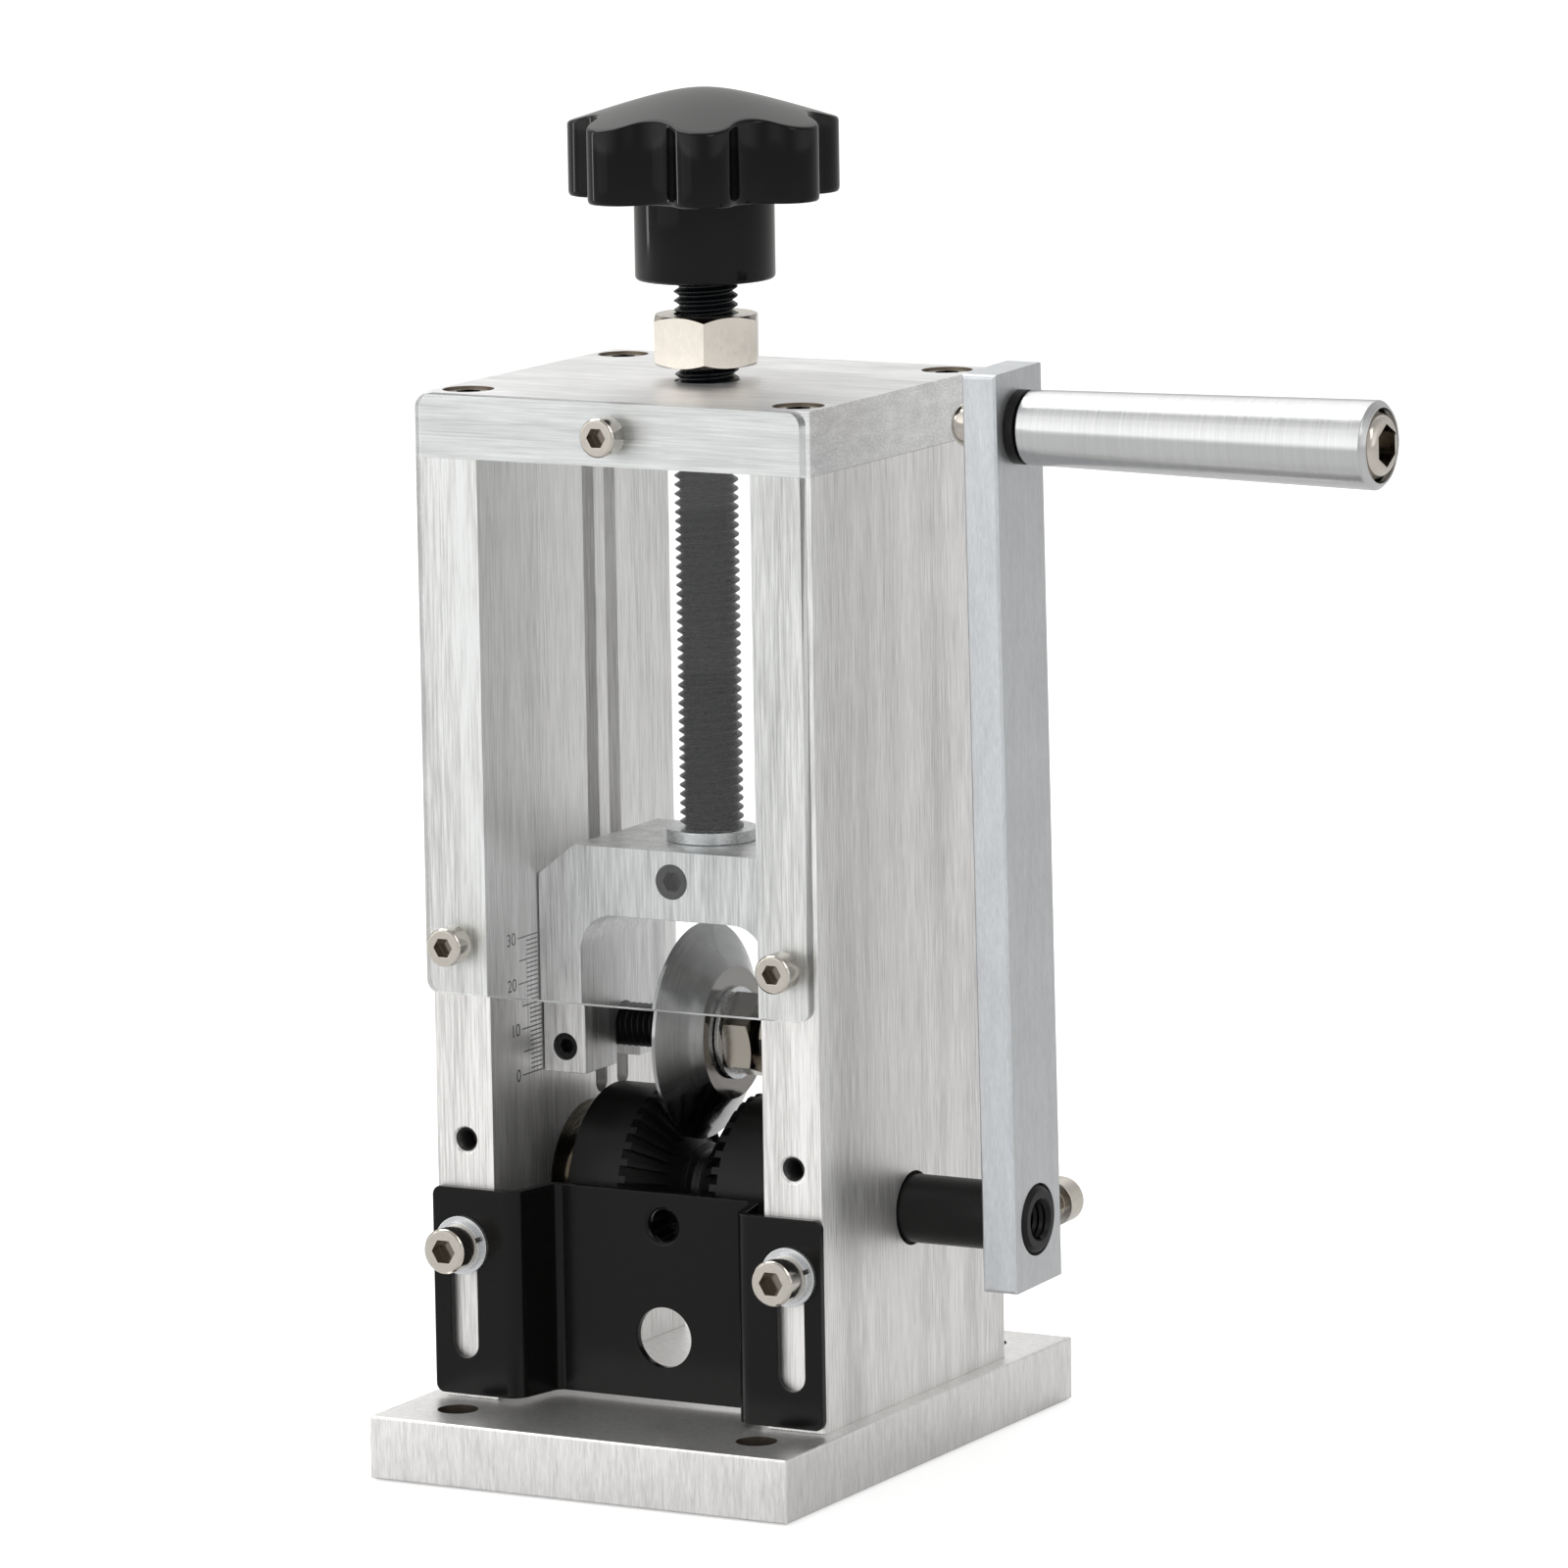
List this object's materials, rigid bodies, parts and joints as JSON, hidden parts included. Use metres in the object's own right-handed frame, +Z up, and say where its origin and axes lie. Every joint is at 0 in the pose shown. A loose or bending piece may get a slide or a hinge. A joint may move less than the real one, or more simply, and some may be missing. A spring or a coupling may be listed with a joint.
{
  "type": "hand crank wire stripper",
  "caption": "Bench cable stripper: a crank turns a toothed V-groove roller under a round blade that a star knob raises and lowers.",
  "frame": {"origin": "centre of the base plate's underside", "axes": "+X towards the crank, -Y towards the feed side with the clear shield, +Z up along the adjusting screw"},
  "size_m": [0.2145, 0.134, 0.2985],
  "materials": {
    "base_aluminium": "brushed",
    "wall_aluminium": "brushed",
    "plate_aluminium": "brushed",
    "zinc_steel": "satin",
    "nickel_steel": "satin",
    "clear_acrylic": "clear gloss",
    "black_paint": "gloss",
    "bearing_steel": "polished",
    "black_oxide_steel": "black oxide",
    "zinc_bar": "bluish zinc",
    "bright_steel": "fine turned",
    "carrier_aluminium": "brushed",
    "nut_steel": "satin",
    "blade_steel": "ground satin",
    "bronze": "turned",
    "black_thread_steel": "black oxide",
    "nut_nickel": "nickel",
    "black_phenolic": "gloss",
    "insert_brass": "turned"
  },
  "bodies": {
    "frame": {"base_plate": "base_aluminium", "left_wall": "wall_aluminium", "right_wall": "wall_aluminium", "top_plate": "plate_aluminium", "base_screws": "zinc_steel", "top_screws": "nickel_steel", "shield": "clear_acrylic", "shield_screws": "nickel_steel", "bracket_screws": "nickel_steel", "bracket_washers": "zinc_steel", "bracket_spring_washers": "zinc_steel", "bearing_outer_rings": "bearing_steel"},
    "feed_bracket": {"guide_bracket": "black_paint"},
    "drive": {"bearing_inner_rings": "bearing_steel", "shaft": "black_oxide_steel", "shaft_spacers": "black_oxide_steel", "roller_left": "black_oxide_steel", "roller_right": "black_oxide_steel", "roller_grub_screws": "black_oxide_steel", "crank_arm": "zinc_bar", "arm_clamp_screw": "nickel_steel", "handle_bolt": "nickel_steel", "handle_washer": "black_oxide_steel"},
    "handle": {"handle_sleeve": "bright_steel"},
    "blade_carrier": {"carrier": "carrier_aluminium", "carrier_set_screw": "black_oxide_steel", "screw_retainer": "black_oxide_steel", "axle_rod": "black_oxide_steel", "axle_nuts": "nut_steel", "axle_washers": "zinc_steel"},
    "cutter": {"blade": "blade_steel", "blade_bush": "bronze"},
    "adjuster": {"adjusting_screw": "black_thread_steel", "thrust_collar": "black_oxide_steel", "knob": "black_phenolic", "knob_insert": "insert_brass"},
    "nut": {"lock_nut": "nut_nickel"}
  },
  "joints": [
    {"name": "bracket_slide", "type": "slide", "parent": "frame", "child": "feed_bracket", "axis": [0, 0, 1], "range_m": [0, 0.022]},
    {"name": "crank_turn", "type": "hinge", "parent": "frame", "child": "drive", "pos_m": [0, 0, 0.0558], "axis": [1, 0, 0], "continuous": true},
    {"name": "handle_spin", "type": "hinge", "parent": "drive", "child": "handle", "pos_m": [0.12, -0.00423, 0.22875], "axis": [1, 0, 0], "continuous": true},
    {"name": "carrier_lift", "type": "slide", "parent": "frame", "child": "blade_carrier", "axis": [0, 0, 1], "range_m": [0, 0.08]},
    {"name": "knob_turn", "type": "hinge", "parent": "blade_carrier", "child": "adjuster", "pos_m": [0, -0.00075, 0.2], "axis": [0, 0, 1], "range_deg": [0, 14410]},
    {"name": "lock_nut_run", "type": "slide", "parent": "adjuster", "child": "nut", "axis": [0, 0, 1], "range_m": [-0.0035, 0.0074]},
    {"name": "blade_spin", "type": "hinge", "parent": "blade_carrier", "child": "cutter", "pos_m": [-0.0025, -0.00075, 0.0915], "axis": [1, 0, 0], "continuous": true}
  ],
  "couplings": [
    {"joint": "knob_turn", "follows": "carrier_lift", "rad_per_m": 3141.6}
  ]
}
